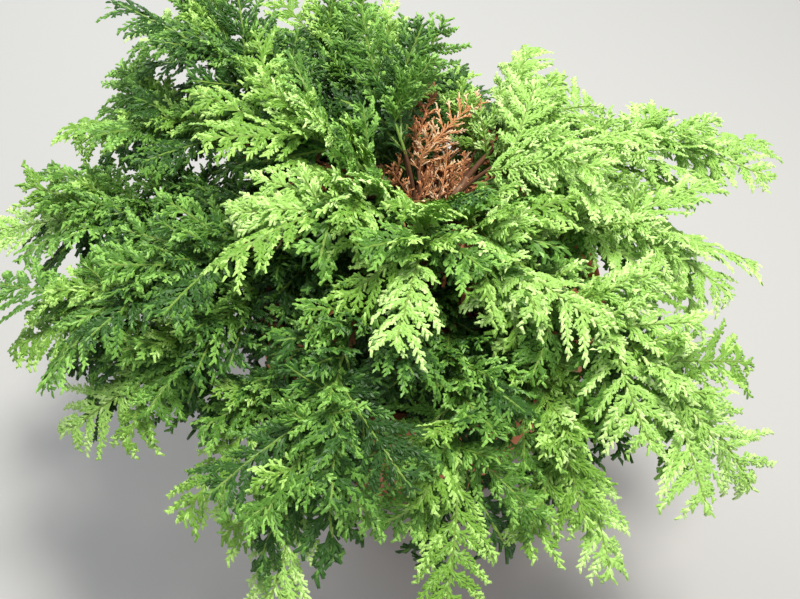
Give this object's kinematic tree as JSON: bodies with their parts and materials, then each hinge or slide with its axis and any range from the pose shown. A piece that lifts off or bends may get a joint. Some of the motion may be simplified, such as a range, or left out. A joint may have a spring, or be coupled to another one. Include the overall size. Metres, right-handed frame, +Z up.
{
  "type": "potted conifer",
  "caption": "Low spreading evergreen conifer: flat lacy sprays on arching boughs round an open brown centre, in a plain tapered clay pot with a banded rim.",
  "frame": {"origin": "middle of the pot's flat underside", "axes": "+Z up, -Y the front, from which the picture looks down on the crown, and +X to the right"},
  "size_m": [0.4248, 0.3575, 0.294],
  "materials": {
    "clay": "matte",
    "potting_mix": "matte",
    "bark": "matte",
    "foliage_green": "matte",
    "foliage_fresh": "matte",
    "foliage_dead": "matte"
  },
  "bodies": {
    "root": {"pot": "clay", "potting_mix": "potting_mix", "trunk": "bark", "bough_outer_01": "bark", "foliage_outer_01": "foliage_green", "bough_outer_02": "bark", "foliage_outer_02": "foliage_green", "bough_outer_03": "bark", "foliage_outer_03": "foliage_green", "bough_outer_04": "bark", "foliage_outer_04": "foliage_green", "bough_outer_05": "bark", "foliage_outer_05": "foliage_green", "bough_outer_06": "bark", "foliage_outer_06": "foliage_green", "bough_outer_07": "bark", "foliage_outer_07": "foliage_green", "bough_outer_08": "bark", "foliage_outer_08": "foliage_green", "bough_outer_09": "bark", "foliage_outer_09": "foliage_green", "bough_outer_10": "bark", "foliage_outer_10": "foliage_green", "bough_outer_11": "bark", "foliage_outer_11": "foliage_green", "bough_outer_12": "bark", "foliage_outer_12": "foliage_green", "bough_outer_13": "bark", "foliage_outer_13": "foliage_green", "bough_outer_14": "bark", "foliage_outer_14": "foliage_green", "bough_outer_15": "bark", "foliage_outer_15": "foliage_green", "bough_outer_16": "bark", "foliage_outer_16": "foliage_green", "bough_outer_17": "bark", "foliage_outer_17": "foliage_green", "bough_inner_01": "bark", "foliage_inner_01": "foliage_fresh", "bough_inner_02": "bark", "foliage_inner_02": "foliage_fresh", "bough_inner_03": "bark", "foliage_inner_03": "foliage_fresh", "bough_inner_04": "bark", "foliage_inner_04": "foliage_fresh", "bough_inner_05": "bark", "foliage_inner_05": "foliage_fresh", "bough_inner_06": "bark", "foliage_inner_06": "foliage_fresh", "bough_dead_01": "bark", "foliage_dead_01": "foliage_dead", "bough_dead_02": "bark", "foliage_dead_02": "foliage_dead", "bough_back_01": "bark", "foliage_back_01": "foliage_green", "bough_back_02": "bark", "foliage_back_02": "foliage_green", "bough_back_03": "bark", "foliage_back_03": "foliage_green"}
  },
  "joints": []
}
